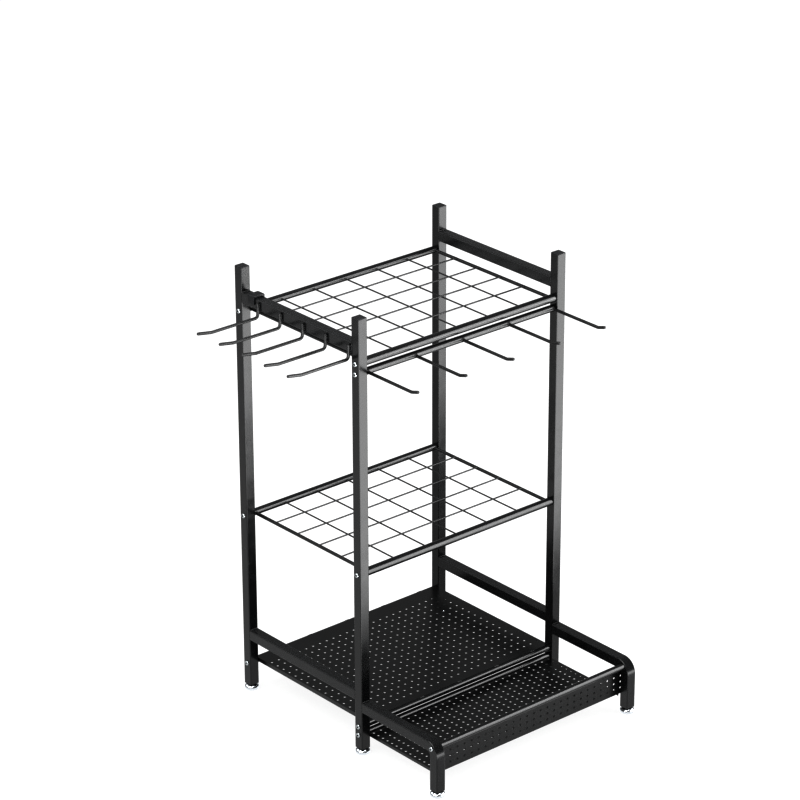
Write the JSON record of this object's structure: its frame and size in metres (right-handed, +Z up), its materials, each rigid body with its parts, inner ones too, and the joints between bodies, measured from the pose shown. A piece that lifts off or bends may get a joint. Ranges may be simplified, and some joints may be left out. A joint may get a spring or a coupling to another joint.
{
  "type": "garden tool rack",
  "caption": "Freestanding steel tool rack with two open wire grids for long handles, a perforated tray, a fenced front bin and hook prongs at the front and left side.",
  "frame": {"origin": "bottom centre of the whole rack's box, on the floor plane, side prongs included", "axes": "+X to the rack's right as seen from its front, +Y to its back, +Z up; the front bin faces -Y and the side prongs reach -X"},
  "size_m": [0.7062, 0.6244, 0.9566],
  "materials": {
    "frame_coat": "black powder coat, satin to gloss",
    "tube_coat": "black powder coat, gloss",
    "wire_coat": "black powder coat, satin",
    "sheet_coat": "black powder coat, satin",
    "black_plastic": "moulded black plastic",
    "zinc": "bright zinc plate",
    "chrome_foot": "polished chrome"
  },
  "bodies": {
    "rack": {"post_left_back": "frame_coat", "post_left_front": "frame_coat", "post_right_back": "frame_coat", "post_right_front": "frame_coat", "top_rail_left": "frame_coat", "top_rail_right": "frame_coat", "base_rail_left": "frame_coat", "base_rail_right": "frame_coat", "leg_left": "frame_coat", "leg_right": "frame_coat", "cap_left_back": "black_plastic", "cap_left_front": "black_plastic", "cap_right_back": "black_plastic", "cap_right_front": "black_plastic", "upper_rear_tube": "tube_coat", "upper_front_tube": "tube_coat", "upper_side_rods": "wire_coat", "upper_long_wires": "wire_coat", "upper_cross_wires": "wire_coat", "middle_rear_tube": "tube_coat", "middle_front_tube": "tube_coat", "middle_side_rods": "wire_coat", "middle_long_wires": "wire_coat", "middle_cross_wires": "wire_coat", "hook_bar": "tube_coat", "front_prong_1": "wire_coat", "front_prong_2": "wire_coat", "front_prong_3": "wire_coat", "front_prong_4": "wire_coat", "front_prong_5": "wire_coat", "side_prong_1": "wire_coat", "side_prong_2": "wire_coat", "side_prong_3": "wire_coat", "side_prong_4": "wire_coat", "side_prong_5": "wire_coat", "rail_saddle": "black_plastic", "rear_tray_sheet": "sheet_coat", "rear_tray_rear_tube": "tube_coat", "rear_tray_front_tube": "tube_coat", "front_tray_sheet": "sheet_coat", "front_fence_sheet": "sheet_coat", "front_tray_rear_tube": "tube_coat", "fence_top_tube": "tube_coat", "tube_end_nuts": "zinc", "bolts": "zinc", "foot_nut_left_back": "black_plastic", "foot_nut_left_mid": "black_plastic", "foot_nut_left_front": "black_plastic", "foot_nut_right_back": "black_plastic", "foot_nut_right_mid": "black_plastic", "foot_nut_right_front": "black_plastic"},
    "foot_left_back": {"foot_left_back": "chrome_foot"},
    "foot_left_mid": {"foot_left_mid": "chrome_foot"},
    "foot_left_front": {"foot_left_front": "chrome_foot"},
    "foot_right_back": {"foot_right_back": "chrome_foot"},
    "foot_right_mid": {"foot_right_mid": "chrome_foot"},
    "foot_right_front": {"foot_right_front": "chrome_foot"}
  },
  "joints": [
    {"name": "foot_left_back_screw", "type": "slide", "parent": "rack", "child": "foot_left_back", "axis": [0, 0, -1], "range_m": [0, 0.012]},
    {"name": "foot_left_mid_screw", "type": "slide", "parent": "rack", "child": "foot_left_mid", "axis": [0, 0, -1], "range_m": [0, 0.012]},
    {"name": "foot_left_front_screw", "type": "slide", "parent": "rack", "child": "foot_left_front", "axis": [0, 0, -1], "range_m": [0, 0.012]},
    {"name": "foot_right_back_screw", "type": "slide", "parent": "rack", "child": "foot_right_back", "axis": [0, 0, -1], "range_m": [0, 0.012]},
    {"name": "foot_right_mid_screw", "type": "slide", "parent": "rack", "child": "foot_right_mid", "axis": [0, 0, -1], "range_m": [0, 0.012]},
    {"name": "foot_right_front_screw", "type": "slide", "parent": "rack", "child": "foot_right_front", "axis": [0, 0, -1], "range_m": [0, 0.012]}
  ]
}
